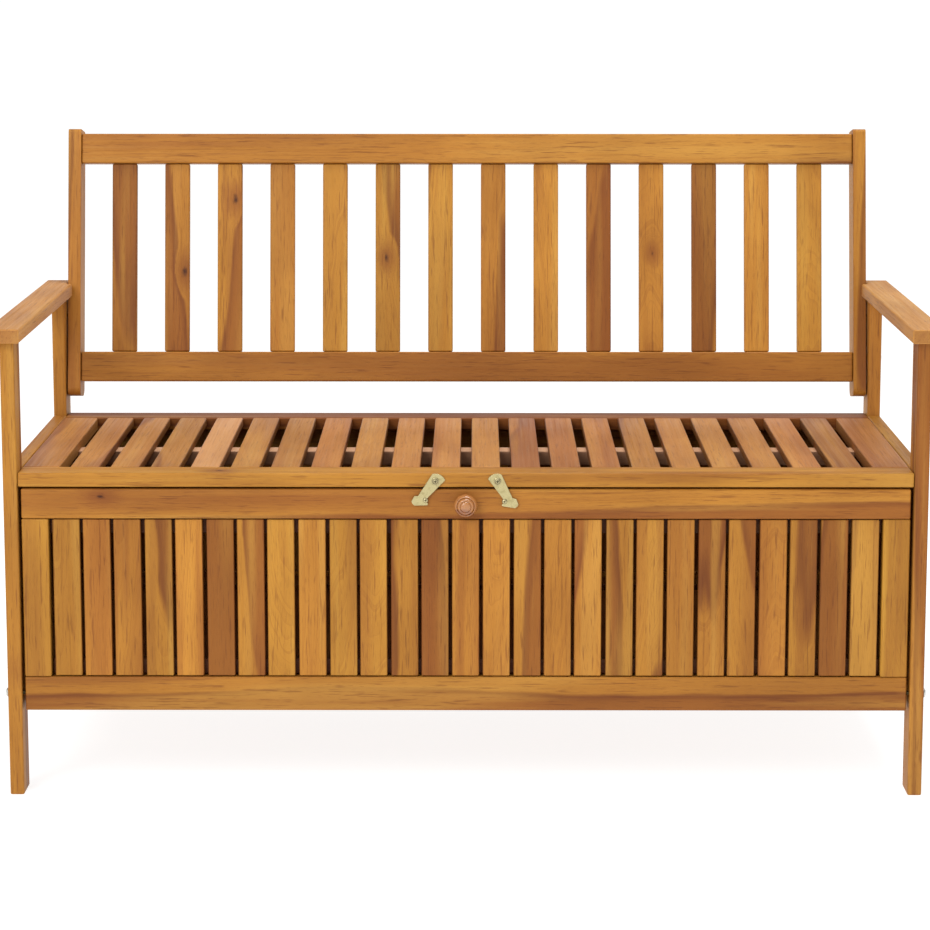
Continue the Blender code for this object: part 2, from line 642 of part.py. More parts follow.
def build_latches(brass, seat_rail, top_rail, axis):
    """Each latch turns on a screw in the seat's front rail and hooks a stud on the flap."""
    back = SEAT_SETBACK - LATCH_GAP
    under_head = back - LATCH_THICK - FIT_GAP
    screw_sizes = (SCREW_RADIUS, SCREW_HEAD_RADIUS, SCREW_HEAD_HEIGHT)
    stud_sizes = (STUD_RADIUS, STUD_HEAD_RADIUS, STUD_HEAD_HEIGHT)
    screw_tip = SEAT_SETBACK + SCREW_BITE
    stud_tip = FLAP_FRONT + SCREW_BITE
    for side, (offset, angle) in LATCH_PLACES.items():
        sign = SIDES[side]
        slope = math.sin(math.radians(angle))
        rise = math.cos(math.radians(angle))
        pivot = Vector((sign * offset, under_head, LATCH_PIVOT_HEIGHT))
        outline = [
            (sign * (down * slope + out * rise), out * slope - down * rise)
            for down, out in latch_outline()
        ]
        place = (pivot.x, back - LATCH_THICK, pivot.z)
        latch = prism(f"latch_{side}", outline, "Y", 0, LATCH_THICK, brass, place)
        screw_end = (pivot.x, screw_tip, pivot.z)
        length = screw_tip - under_head
        screw(f"latch_screw_{side}", pivot, (0, 1, 0), screw_sizes, length, brass)
        bore(latch, SCREW_RADIUS, pivot, screw_end)
        bore(seat_rail, SCREW_RADIUS, pivot, screw_end)
        stud_x = pivot.x + sign * LATCH_REACH * slope
        stud_z = pivot.z - LATCH_REACH * rise
        start = (stud_x, under_head, stud_z)
        length = stud_tip - under_head
        stud = screw(f"latch_stud_{side}", start, (0, 1, 0), stud_sizes, length, brass)
        hang(stud, axis)
        bore(top_rail, STUD_RADIUS, start, (stud_x, stud_tip, stud_z))


def main():
    clear_scene()
    frame_wood = make_material("oiled_hardwood_frame", (0.56, 0.31, 0.11), 0.45)
    slat_wood = make_material("oiled_hardwood_slats", (0.48, 0.24, 0.09), 0.45)
    brass = make_material("plated_brass", (0.75, 0.65, 0.40), 0.30, 1.0)
    steel = make_material("zinc_steel", (0.55, 0.54, 0.50), 0.35, 1.0)
    legs = build_legs(frame_wood)
    build_arms(frame_wood)
    build_side_walls(slat_wood)
    build_rear_wall(slat_wood)
    build_floor(slat_wood)
    seat_rail = build_seat(frame_wood)
    axis, top_rail, bottom_rail = build_flap(slat_wood)
    build_knob(frame_wood, steel, axis, top_rail)
    build_flap_bolts(steel, legs, bottom_rail)
    posts = build_backrest(frame_wood)
    build_back_bolts(steel, legs, posts)
    build_latches(brass, seat_rail, top_rail, axis)


main()
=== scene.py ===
"""Looks of a slatted, oiled hardwood garden bench with a storage box under its seat.

Every wooden piece is rebuilt as boards with rounded edges. Each vertex of a board carries where it lies in
the board's own grain and in the log that the board was sawn from, so that growth rings, heartwood and
knots run through the wood as they do in real timber. Left is -X, the front is -Y.
"""

import json
import math
import random

import bmesh
import bpy
import numpy as np
from mathutils import Matrix, Vector


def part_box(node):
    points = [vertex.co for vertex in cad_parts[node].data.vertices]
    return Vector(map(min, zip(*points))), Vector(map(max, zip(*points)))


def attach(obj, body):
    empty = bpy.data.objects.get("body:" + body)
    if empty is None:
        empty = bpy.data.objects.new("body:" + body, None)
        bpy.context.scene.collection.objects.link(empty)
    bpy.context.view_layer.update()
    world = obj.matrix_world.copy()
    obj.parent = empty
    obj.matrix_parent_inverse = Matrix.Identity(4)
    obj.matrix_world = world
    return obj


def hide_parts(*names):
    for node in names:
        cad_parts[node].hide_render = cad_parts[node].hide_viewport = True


# Shapes
BOARD_EDGE = 0.0022
SLAT_EDGE = 0.0016
EDGE_STEPS = 3
SLAT_EDGE_STEPS = 2
COPY_EDGE = 0.0007
PLATE_EDGE = 0.0004
WELD = 1e-6
FLAT_ANGLE = math.radians(1.0)
SHARP_ANGLE = math.radians(25.0)
LEAN = math.radians(10.0)
SLAT_THICK = 0.012
SLAT_LAP = 0.001
SLAT_WANDER = 0.0007
BATTEN_HEIGHT = 0.020
BATTEN_INSET = 0.018
WIDE_BATTEN = 0.031
WALL_GAP = 0.0044
# Below zero, because the boards of the rear wall and of the floor lap a little
CLOSED_GAP = -0.0002
SEAT_SLOT = 0.0142
# How round the two rear corners of a seat slat are in plan
SEAT_CORNER = 0.004
CORNER_STEPS = 4
FLAP_SLATS = 27
REAR_SLATS = 29
SIDE_SLATS = 10
FLOOR_SLATS = 16
SEAT_SLATS = 20
BACK_SLATS = 14
ROUND_STEPS = 48

# Boards that stand out from their neighbours, counted from the left
DARK_FLAP_SLATS = {1, 6, 13, 19, 22, 25, 26}
PALE_FLAP_SLATS = {5, 9, 11, 15}
DARK_BACK_SLATS = {1, 2, 6, 10, 12}
PALE_BACK_SLATS = {5, 9, 13}
# A knot is where it lies along and across its board, from -1 to 1, and its size
KNOTTY_BACK_SLATS = {
    2: (-0.15, 0.6, 0.007),
    3: (0.62, 0.45, 0.007),
    6: (0.0, -0.1, 0.006),
    11: (0.05, 0.1, 0.005),
}
DARK_SEAT_SLATS = {3, 6, 12, 15, 18, 20}
PALE_SEAT_SLATS = {4}
TONE_STEP = 0.60

# Tones, hues and shares of pale and of dark wood, which Cut explains. Some are painted shade or painted
# sheen, as noted at each
WALL_TONE = -1.2
# Painted shade: the battens behind the flap's slats are darkened
FLAP_BATTEN_SHADE_TONE = -2.6
FLAP_BATTEN_SHADE = 0.50
# Painted shade: the floor's boards inside the box are darkened
FLOOR_SHADE_TONE = -2.2
FLOOR_SHADE = 0.35
SEAT_TONE = 0.15
SEAT_HUE = -0.8
# Painted sheen: the seat's boards and the armrests take a share of pale wood, paler and less saturated, as
# top light makes them look
SEAT_SHEEN = 0.20
PALE_SLAT_SHARE = 0.50
DECK_BATTEN_TONE = 2.0
# Painted shade on the long sides of slats, which darkens the gaps between them
SIDE_SHADE = 0.50
END_STAIN = 0.30
END_DEPTH = 0.0004

# How boards differ by chance
TONE_SPREAD = 0.30
HUE_SPREAD = 0.8
PITH_ACROSS = 0.05
PITH_AWAY = (0.012, 0.075)
HEART_SHORT = (-0.052, -0.004)
HEART_BY_TONE = 0.042
STEEPEST = 0.12
STEEP_RISE = 0.025
GRAIN_SPREAD = 9.0
NO_KNOT = (1.0, 1.0, 0.004)

# Wood, with lengths in metres and colours linear
SAPWOOD = (0.415, 0.174, 0.022)
HEARTWOOD = (0.255, 0.082, 0.012)
HEART_RIM = (0.145, 0.038, 0.007)
PALE_STREAK = (0.490, 0.245, 0.042)
DARK_STREAK = (0.140, 0.041, 0.008)
KNOT_HALO = (0.200, 0.055, 0.010)
KNOT_CORE = (0.050, 0.013, 0.004)
PALE_WOOD = (0.430, 0.230, 0.115)
# Dark wood: painted shade on slat sides and on boards inside the box, and the darker end grain that soaks up
# oil
SHADE_AND_SOAKED_WOOD = (0.085, 0.011, 0.001)
RING_WIDTH = 0.0050
RING_SHARE = 0.30
RING_WANDER = 0.026
RING_WANDER_SCALE = (2.6, 11.0, 11.0)
RING_WANDER_DETAIL = 3.0
RING_POWER = 2.5
UNEVEN_SCALE = 70.0
UNEVEN_RINGS = 2.2
HEART_WAVER = 0.014
HEART_EDGE = (-0.0015, 0.0025)
HEART_SHARE = 0.85
RIM_FADE = (0.009, 0.001)
RIM_SHARE = 0.70
KNOT_STRETCH = 0.55
KNOT_RAGGED = 0.0065
KNOT_PUSH = 0.016
HALO_FADE = (4.2, 0.4)
HALO_SHARE = 0.75
CORE_FADE = (1.25, 0.45)

# Noises in the wood: repeats per metre along its grain and across it, detail, roughness
NOISES = {
    "broad": ((1.7, 40.0, 40.0), 2.0, 0.5),
    "drift": ((1.1, 15.0, 15.0), 1.0, 0.5),
    "fibre": ((5.0, 260.0, 260.0), 4.0, 0.6),
    "ticks": ((20.0, 400.0, 400.0), 2.0, 0.6),
    "pores": ((75.0, 1500.0, 1500.0), 1.0, 0.5),
    "blotch": ((6.0, 13.0, 13.0), 2.0, 0.5),
    "ragged": ((130.0, 330.0, 330.0), 3.0, 0.6),
}

# Streaks, laid over the wood in turn: noise, where it starts and is full, its largest share, its colour
STREAKS = (
    ("broad", 0.52, 0.70, 0.60, PALE_STREAK),
    ("broad", 0.45, 0.28, 0.60, HEARTWOOD),
    ("drift", 0.54, 0.72, 0.50, PALE_STREAK),
    ("drift", 0.44, 0.30, 0.50, HEARTWOOD),
    ("fibre", 0.42, 0.24, 0.42, DARK_STREAK),
    ("fibre", 0.58, 0.76, 0.22, PALE_STREAK),
    ("pores", 0.60, 0.70, 0.30, DARK_STREAK),
    ("ticks", 0.58, 0.68, 0.50, HEART_RIM),
)

# How strongly tone and hue act on the colour, and how much more on its green and blue
TONE_GAIN = 0.20
HUE_GAIN = 0.07
BLOTCHES = (0.3, 0.7, 0.90, 1.10)
GREEN_POWER = 1.25
BLUE_POWER = 1.5

# Relief of the wood, and its finishes: roughness of dark and of pale fibres, specular level
FIBRE_RELIEF = 0.8
RING_RELIEF = 0.25
PORE_RELIEF = (0.58, 0.70, 0.0, 0.5)
WOOD_BUMP = (0.35, 0.0004)
FIBRE_RANGE = (0.3, 0.7)
OILED = (0.60, 0.44, 0.22)
POLISHED = (0.24, 0.16, 0.85)

# Metals: colour, colour of the dull film on them, roughness
FRESH_BRASS = ((0.50, 0.43, 0.22), (0.32, 0.26, 0.11), 0.26)
WORN_BRASS = ((0.44, 0.38, 0.21), (0.22, 0.18, 0.09), 0.30)
# Painted shade: a dark metal for the drive recesses of heads and the rings round them, also put on the
# hidden shanks
RECESS_SHADE = ((0.10, 0.08, 0.04), (0.04, 0.03, 0.02), 0.60)
ZINC = ((0.62, 0.62, 0.60), (0.40, 0.39, 0.36), 0.32)
BRUSH_NOISE = ((2600.0, 900.0, 240.0), 2.0, 0.5)
BRUSH_BUMP = (0.12, 0.0002)
FILM_NOISE = ((170.0, 170.0, 170.0), 3.0, 0.6)
FILM_EDGE = (0.45, 0.75)
FILM_SHARE = 0.6
FILM_ROUGHER = 0.16

# Outlines of heads, as shares of their radius and height, from the rim to the middle
PAN_HEAD = [(1.0, 0.0), (1.0, 0.30), (0.96, 0.52), (0.86, 0.74), (0.70, 0.90), (0.50, 0.97), (0.0, 1.0)]
CUP_HEAD = [(1.0, 0.0), (1.0, 0.18), (0.95, 0.42), (0.82, 0.58), (0.72, 0.56), (0.66, 0.44)]
CUP_HEAD += [(0.63, 0.44), (0.60, 0.66), (0.48, 0.86), (0.28, 0.97), (0.0, 1.0)]
MUSHROOM_HEAD = [(1.0, 0.0), (1.0, 0.25), (0.93, 0.52), (0.78, 0.76), (0.50, 0.94), (0.0, 1.0)]
BOLT_HEAD_HEIGHT = 0.0035
BOLT_DRIVE = (0.0052, 0.0040)
KNOB_SCREW_HEAD_HEIGHT = 0.0020
LATCH_SCREW_HEAD_HEIGHT = 0.0018
LATCH_STUD_HEAD_HEIGHT = 0.0016
SCREW_DRIVE = (0.0034, 0.0016)
STUD_DRIVE = (0.0024, 0.0010)
# Rings of painted shade, from one share of the head's radius to another
NO_RING = (0.0, 0.0)
SCREW_SHADE_RING = (0.60, 0.76)
STUD_SHADE_RING = (0.86, 1.1)
DRIVE_BAR = 0.28
SHANK = 0.36

# The knob's outline, from the foot on the rail to the middle of the crown, as shares like a head's
KNOB_FOOT = [(0.0, 0.0), (0.64, 0.0), (0.67, 0.02), (0.66, 0.05), (0.56, 0.13), (0.53, 0.19)]
KNOB_FLARE = [(0.57, 0.25), (0.72, 0.31), (0.90, 0.36), (0.98, 0.42), (1.0, 0.48), (0.985, 0.55)]
KNOB_BEAD = [(0.95, 0.66), (0.88, 0.755), (0.82, 0.80), (0.78, 0.80), (0.76, 0.755), (0.74, 0.75)]
KNOB_RING = [(0.71, 0.80), (0.66, 0.875), (0.58, 0.915), (0.51, 0.92), (0.49, 0.885), (0.47, 0.88)]
KNOB_CROWN = [(0.44, 0.92), (0.38, 0.965), (0.26, 0.99), (0.12, 0.998), (0.0, 1.0)]

# Studio
CAMERA_RIGHT = 0.012
CAMERA_AHEAD = 3.553
CAMERA_HEIGHT = 1.085
CAMERA_PITCH = math.radians(-8.94)
CAMERA_YAW = math.radians(0.207)
CAMERA_LENS = 110.86
CAMERA_SHIFT = -0.08
FLOOR_SIZE = 60.0
FLOOR_GREY = (0.42, 0.42, 0.42, 1.0)
FLOOR_ROUGHNESS = 0.9
FLOOR_GLOW = 0.84
WALL_GLOW = 1.04
CEILING_GLOW = 0.35
WALL_TOP = 0.25
CEILING_START = 0.55
LAMP_SIZE = 2.2
LAMP_TARGET = (0.0, 0.0, 0.4)
KEY_PLACE = (-1.8, -3.4, 2.9)
KEY_POWER = 98.0
TOP_PLACE = (0.6, -0.2, 3.6)
TOP_POWER = 80.0

WHITE = (1.0, 1.0, 1.0, 1.0)
ORIGIN = (0.0, 0.0, 0.0)
FORWARD = (0, -1, 0)
BACKWARD = (0, 1, 0)
SIDES = {"left": -1, "right": 1}

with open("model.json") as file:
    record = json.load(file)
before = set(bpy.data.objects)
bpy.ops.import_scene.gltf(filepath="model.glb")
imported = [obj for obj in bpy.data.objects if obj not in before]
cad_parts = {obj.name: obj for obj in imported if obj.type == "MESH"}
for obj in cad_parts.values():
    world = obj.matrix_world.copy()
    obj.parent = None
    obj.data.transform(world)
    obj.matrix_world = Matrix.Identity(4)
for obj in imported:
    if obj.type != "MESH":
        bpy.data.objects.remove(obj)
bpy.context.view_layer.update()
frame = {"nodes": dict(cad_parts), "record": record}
NODE_BODY = {
    node: body
    for body, nodes in frame["record"]["behaviour"]["bodies"].items()
    for node in nodes
}


class Net:
    """A material's node tree, with short ways to add to it. A value is a socket or a plain number."""

    def __init__(self, name):
        self.material = bpy.data.materials.new(name)
        self.material.use_nodes = True
        self.tree = self.material.node_tree
        self.shader = self.tree.nodes["Principled BSDF"]

    def node(self, kind, **settings):
        made = self.tree.nodes.new("ShaderNode" + kind)
        for key, value in settings.items():
            setattr(made, key, value)
        return made

    def put(self, value, socket):
        if isinstance(value, bpy.types.NodeSocket):
            self.tree.links.new(value, socket)
        else:
            socket.default_value = value

    def math(self, operation, first, second=0.0):
        made = self.node("Math", operation=operation)
        self.put(first, made.inputs[0])
        self.put(second, made.inputs[1])
        return made.outputs["Value"]

    def vector(self, operation, first, second, out="Vector"):
        made = self.node("VectorMath", operation=operation)
        self.put(first, made.inputs[0])
        self.put(second, made.inputs[1])
        return made.outputs[out]

    def noise(self, place, detail, roughness=0.5):
        made = self.node("TexNoise")
        self.put(place, made.inputs["Vector"])
        made.inputs["Scale"].default_value = 1.0
        made.inputs["Detail"].default_value = detail
        made.inputs["Roughness"].default_value = roughness
        return made

    def streaks(self, place, scale, detail, roughness):
        stretched = self.vector("MULTIPLY", place, scale)
        return self.noise(stretched, detail, roughness).outputs["Fac"]

    def remap(self, value, low, high, to_low=0.0, to_high=1.0):
        made = self.node("MapRange", interpolation_type="SMOOTHSTEP")
        self.put(value, made.inputs["Value"])
        self.put(low, made.inputs["From Min"])
        self.put(high, made.inputs["From Max"])
        self.put(to_low, made.inputs["To Min"])
        self.put(to_high, made.inputs["To Max"])
        return made.outputs["Result"]

    def mix(self, share, first, second, blend="MIX"):
        made = self.node("Mix", data_type="RGBA", blend_type=blend)
        self.put(share, made.inputs[0])
        self.put(self.colour(first), made.inputs[6])
        self.put(self.colour(second), made.inputs[7])
        return made.outputs[2]

    @staticmethod
    def colour(value):
        return (*value, 1.0) if isinstance(value, tuple) else value

    def attribute(self, name):
        return self.node("Attribute", attribute_name=name).outputs["Vector"]

    def parts(self, vector):
        made = self.node("SeparateXYZ")
        self.put(vector, made.inputs["Vector"])
        return made.outputs

    def bump(self, height, strength, distance):
        made = self.node("Bump")
        self.put(height, made.inputs["Height"])
        made.inputs["Strength"].default_value = strength
        made.inputs["Distance"].default_value = distance
        self.put(made.outputs["Normal"], self.shader.inputs["Normal"])

    def set(self, **values):
        for key, value in values.items():
            self.put(value, self.shader.inputs[key.replace("_", " ").title().replace("Ior", "IOR")])


def growth_rings(net, grain, knot_halo):
    """(distance from the pith, ring profile): the ring profile rises to 1 at each ring's late wood."""
    wander = net.noise(net.vector("MULTIPLY", grain, RING_WANDER_SCALE), RING_WANDER_DETAIL)
    shift = net.vector("SUBTRACT", wander.outputs["Color"], (0.5, 0.5, 0.5))
    shift = net.vector("MULTIPLY", shift, (0.0, RING_WANDER, RING_WANDER))
    place = net.vector("ADD", net.attribute("log"), shift)
    place = net.vector("MULTIPLY", place, (0.0, 1.0, 1.0))
    distance = net.vector("LENGTH", place, ORIGIN, "Value")
    distance = net.math("ADD", distance, net.math("MULTIPLY", knot_halo, KNOT_PUSH))
    uneven = net.node("TexNoise", noise_dimensions="1D")
    net.put(net.math("MULTIPLY", distance, UNEVEN_SCALE), uneven.inputs["W"])
    phase = net.math("DIVIDE", distance, RING_WIDTH)
    phase = net.math("ADD", phase, net.math("MULTIPLY", uneven.outputs["Fac"], UNEVEN_RINGS))
    profile = net.math("POWER", net.math("FRACT", phase), RING_POWER)
    return distance, profile


def knot_shares(net, ragged):
    """(halo, core): both are 1 in the middle of the knot, and the halo reaches further out."""
    knot = net.parts(net.attribute("knot"))
    spot = net.node("CombineXYZ")
    net.put(net.math("MULTIPLY", knot["X"], KNOT_STRETCH), spot.inputs["X"])
    net.put(knot["Y"], spot.inputs["Y"])
    away = net.vector("LENGTH", spot.outputs["Vector"], ORIGIN, "Value")
    away = net.math("ADD", away, net.math("MULTIPLY", ragged, KNOT_RAGGED))
    sizes = net.math("DIVIDE", away, knot["Z"])
    return net.remap(sizes, *HALO_FADE), net.remap(sizes, *CORE_FADE)


def raw_colour(net, noise, heart_radius, distance, ring):
    """Sapwood round heartwood, with a dark rim between them, growth rings and streaks."""
    waver = net.math("MULTIPLY", noise["broad"], HEART_WAVER)
    inside = net.math("SUBTRACT", net.math("ADD", heart_radius, waver), distance)
    heart = net.remap(inside, *HEART_EDGE)
    rim = net.math("MULTIPLY", heart, net.remap(inside, *RIM_FADE))
    colour = net.mix(net.math("MULTIPLY", heart, HEART_SHARE), SAPWOOD, HEARTWOOD)
    colour = net.mix(net.math("MULTIPLY", rim, RIM_SHARE), colour, HEART_RIM)
    colour = net.mix(net.math("MULTIPLY", ring, RING_SHARE), colour, HEARTWOOD)
    for name, first, full, share, streak in STREAKS:
        colour = net.mix(net.remap(noise[name], first, full, 0.0, share), colour, streak)
    return colour


def toned(net, colour, tone, blotch):
    """The colour made as bright as the tone and as golden as the hue. A darker board is also redder."""
    bright = net.math("ADD", net.math("MULTIPLY", tone["X"], TONE_GAIN), 1.0)
    bright = net.math("MULTIPLY", bright, net.remap(blotch, *BLOTCHES))
    golden = net.math("ADD", net.math("MULTIPLY", tone["Z"], HUE_GAIN), 1.0)
    shade = net.node("CombineXYZ")
    net.put(bright, shade.inputs["X"])
    net.put(net.math("MULTIPLY", net.math("POWER", bright, GREEN_POWER), golden), shade.inputs["Y"])
    net.put(net.math("POWER", bright, BLUE_POWER), shade.inputs["Z"])
    return net.mix(1.0, colour, shade.outputs["Vector"], "MULTIPLY")


def make_wood(name, dull, smooth, gloss):
    """Oiled tropical hardwood: golden sapwood, red-brown heartwood, streaked and open-pored."""
    net = Net(name)
    grain = net.attribute("grain")
    tone = net.parts(net.attribute("tone"))
    surface = net.parts(net.attribute("surface"))
    noise = {kind: net.streaks(grain, *recipe) for kind, recipe in NOISES.items()}
    halo, core = knot_shares(net, noise["ragged"])
    distance, ring = growth_rings(net, grain, halo)
    colour = raw_colour(net, noise, tone["Y"], distance, ring)
    colour = net.mix(net.math("MULTIPLY", halo, HALO_SHARE), colour, KNOT_HALO)
    colour = net.mix(core, colour, KNOT_CORE)
    # Pale wood, partly painted sheen, and dark wood, mostly painted shade
    colour = net.mix(surface["X"], colour, PALE_WOOD)
    colour = net.mix(surface["Y"], colour, SHADE_AND_SOAKED_WOOD)
    colour = toned(net, colour, tone, noise["blotch"])
    fibres = net.math("MULTIPLY", noise["fibre"], FIBRE_RELIEF)
    height = net.math("ADD", fibres, net.math("MULTIPLY", ring, RING_RELIEF))
    height = net.math("SUBTRACT", height, net.remap(noise["pores"], *PORE_RELIEF))
    net.bump(height, *WOOD_BUMP)
    net.set(base_color=colour, roughness=net.remap(noise["fibre"], *FIBRE_RANGE, dull, smooth))
    net.set(specular_ior_level=gloss)
    return net.material


def make_metal(name, colour, stain, roughness):
    """Plated metal with fine brushing, and a dull film in patches."""
    net = Net(name)
    place = net.node("TexCoord").outputs["Object"]
    brushed = net.streaks(place, *BRUSH_NOISE)
    film = net.remap(net.streaks(place, *FILM_NOISE), *FILM_EDGE)
    tint = net.mix(net.math("MULTIPLY", film, FILM_SHARE), colour, stain)
    net.bump(brushed, *BRUSH_BUMP)
    rough = net.math("ADD", net.math("MULTIPLY", film, FILM_ROUGHER), roughness)
    net.set(base_color=tint, roughness=rough, metallic=1.0)
    return net.material


class Cut:
    """How a board was sawn: its tone, its place in the log, the heartwood's radius there, and its knot.

    Heart widens the heartwood, in metres. Hue goes from red at -1 to gold at 1. Pale is a share of pale
    wood, which on the seat's boards is partly painted sheen. Deep is a share of dark wood, used as painted
    shade.
    """

    def __init__(self, name, length, tone=0.0, knot=None, heart=0.0, hue=0.0, pale=0.0, deep=0.0):
        chance = random.Random(name)
        steep = min(STEEPEST, STEEP_RISE / length)
        self.tone = tone + chance.uniform(-TONE_SPREAD, TONE_SPREAD)
        self.hue = hue + chance.uniform(-HUE_SPREAD, HUE_SPREAD)
        self.pale = pale
        self.deep = deep
        pith_across = chance.uniform(-PITH_ACROSS, PITH_ACROSS)
        self.pith = (pith_across, chance.choice((-1, 1)) * chance.uniform(*PITH_AWAY))
        self.slope = (chance.uniform(-steep, steep), chance.uniform(-steep, steep))
        away = math.hypot(*self.pith)
        self.heart = away + heart + chance.uniform(*HEART_SHORT) - HEART_BY_TONE * tone
        self.offset = [chance.uniform(-GRAIN_SPREAD, GRAIN_SPREAD) for _ in range(3)]
        self.knot = knot


class Timber:
    """Gathers the boards of one piece, with the values that its material is drawn from."""

    def __init__(self, turn=None):
        self.turn = turn or Matrix.Identity(3)
        self.points = []
        self.faces = []
        self.values = {"grain": [], "log": [], "tone": [], "knot": [], "surface": []}

    def add(self, work, along, across, cut, side_edge=0.0, end_stain=END_STAIN):
        """Takes the board in the bmesh, given upright. Along is its grain's axis, and across is its width's.

        With a side edge, the board's two long sides are darkened with painted shade, from that far inside
        its face. Its end grain soaks up more oil than its face.
        """
        first = len(self.points)
        work.verts.index_update()
        here = np.array([v.co for v in work.verts])
        self.points += [self.turn @ v.co for v in work.verts]
        self.faces += [[first + v.index for v in face.verts] for face in work.faces]
        work.free()
        third = ({0, 1, 2} - {along, across}).pop()
        local = (here - (here.min(0) + here.max(0)) / 2)[:, [along, across, third]]
        run = local[:, 0]
        log = local.copy()
        log[:, 1] -= cut.pith[0] + cut.slope[0] * run
        log[:, 2] -= cut.pith[1] + cut.slope[1] * run
        if cut.knot:
            length, width = np.ptp(local[:, 0]), np.ptp(local[:, 1])
            knot_place = (cut.knot[0] * length / 2, cut.knot[1] * width / 2)
            from_knot = [(x - knot_place[0], y - knot_place[1], cut.knot[2]) for x, y, _ in local]
        else:
            from_knot = [NO_KNOT] * len(local)
        self.values["grain"] += (local + np.array(cut.offset)).tolist()
        self.values["log"] += log.tolist()
        self.values["tone"] += [(cut.tone, cut.heart, cut.hue)] * len(local)
        self.values["knot"] += from_knot
        from_end = np.ptp(run) / 2 - np.abs(run)
        deep = np.maximum(cut.deep, end_stain * (from_end < END_DEPTH))
        # Painted shade on the board's long sides
        if side_edge:
            inside = np.ptp(local[:, 1]) / 2 - np.abs(local[:, 1])
            deep = np.maximum(deep, SIDE_SHADE * np.clip(1 - inside / side_edge, 0, 1))
        self.values["surface"] += [(cut.pale, share, 0.0) for share in deep]

    def board(self, low, high, along, across, cut):
        """A straight board between two corners, with rounded edges."""
        work = box_work(low, high)
        round_edges(work, BOARD_EDGE, EDGE_STEPS)
        self.add(work, along, across, cut)

    def slat(self, low, high, along, across, cut, corner=0.0):
        """A thin board whose long sides are darkened with painted shade. Its two corners at the rear can be
        rounded in plan.
        """
        work = box_work(low, high)
        if corner:
            round_rear_corners(work, corner)
        round_edges(work, SLAT_EDGE, SLAT_EDGE_STEPS)
        self.add(work, along, across, cut, SLAT_EDGE)

    def piece(self, node, material):
        mesh = bpy.data.meshes.new(node + "_wood")
        mesh.from_pydata(self.points, [], self.faces)
        for name, rows in self.values.items():
            layer = mesh.attributes.new(name, "FLOAT_VECTOR", "POINT")
            layer.data.foreach_set("vector", np.array(rows, np.float32).ravel())
        stand_for(node, mesh, material)


def stand_for(node, mesh, material):
    """Makes the piece that is shown instead of a CAD node, and lets it move with that node's body."""
    mesh.shade_smooth()
    if material:
        mesh.materials.append(material)
    obj = bpy.data.objects.new("look_" + node, mesh)
    bpy.context.scene.collection.objects.link(obj)
    normals = obj.modifiers.new("Flat faces stay flat", "WEIGHTED_NORMAL")
    normals.keep_sharp = True
    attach(obj, NODE_BODY[node])
    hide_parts(node)


def box_work(low, high):
    work = bmesh.new()
    bmesh.ops.create_cube(work, size=1.0)
    bmesh.ops.scale(work, vec=Vector(high) - Vector(low), verts=work.verts)
    bmesh.ops.translate(work, vec=(Vector(low) + Vector(high)) / 2, verts=work.verts)
    return work


def round_rear_corners(work, radius):
    rear = max(v.co.y for v in work.verts)
    at_rear = [e for e in work.edges if all(v.co.y == rear for v in e.verts)]
    upright = [e for e in at_rear if e.verts[0].co.x == e.verts[1].co.x]
    bmesh.ops.bevel(
        work,
        geom=upright,
        offset=radius,
        segments=CORNER_STEPS,
        profile=0.5,
        affect="EDGES",
    )


def box_in(node, turn):
    """(low, high) of a CAD node along the axes of a turned frame."""
    back = turn.transposed()
    points = np.array([back @ v.co for v in frame["nodes"][node].data.vertices])
    return Vector(points.min(0)), Vector(points.max(0))


def axes_of(low, high):
    """The indices of a board's longest axis and of its next longest."""
    size = high - low
    order = sorted(range(3), key=lambda i: size[i])
    return order[2], order[1]


def make_board(node, material, turn=None, **sawn):
    turn = turn or Matrix.Identity(3)
    low, high = box_in(node, turn)
    along, across = axes_of(low, high)
    timber = Timber(turn)
    length = high[along] - low[along]
    timber.board(low, high, along, across, Cut(node, length, **sawn))
    timber.piece(node, material)


def cad_copy(node, turn):
    """The CAD node's own shape in a turned frame, with its flat faces whole again."""
    work = bmesh.new()
    work.from_mesh(frame["nodes"][node].data)
    bmesh.ops.remove_doubles(work, verts=work.verts, dist=WELD)
    bmesh.ops.dissolve_limit(work, angle_limit=FLAT_ANGLE, verts=work.verts, edges=work.edges)
    bmesh.ops.rotate(work, matrix=turn.transposed(), cent=(0, 0, 0), verts=work.verts)
    return work


def round_edges(work, radius, steps):
    sharp = [e for e in work.edges if len(e.link_faces) == 2 and e.calc_face_angle() > SHARP_ANGLE]
    bmesh.ops.bevel(
        work,
        geom=sharp,
        offset=radius,
        segments=steps,
        profile=0.5,
        affect="EDGES",
        clamp_overlap=True,
    )


def make_shaped_board(node, material, turn=None, radius=COPY_EDGE, **sawn):
    """A board that isn't a plain box, such as a notched or a round-ended one."""
    turn = turn or Matrix.Identity(3)
    low, high = box_in(node, turn)
    along, across = axes_of(low, high)
    work = cad_copy(node, turn)
    round_edges(work, radius, SLAT_EDGE_STEPS)
    timber = Timber(turn)
    timber.add(work, along, across, Cut(node, high[along] - low[along], **sawn))
    timber.piece(node, material)


def strips(low, high, count, gap):
    """(low, high) of equal strips between two ends, with a gap before the first and after the last."""
    pitch = (high - low - gap) / count
    return [(low + gap + i * pitch, low + (i + 1) * pitch) for i in range(count)]


def tone_of(number, dark, pale):
    if number in dark:
        return -TONE_STEP
    if number in pale:
        return TONE_STEP
    return 0.0


def with_range(low, high, axis, first, last):
    """The two corners of a box with its range along one axis changed."""
    low, high = Vector(low), Vector(high)
    low[axis], high[axis] = first, last
    return low, high


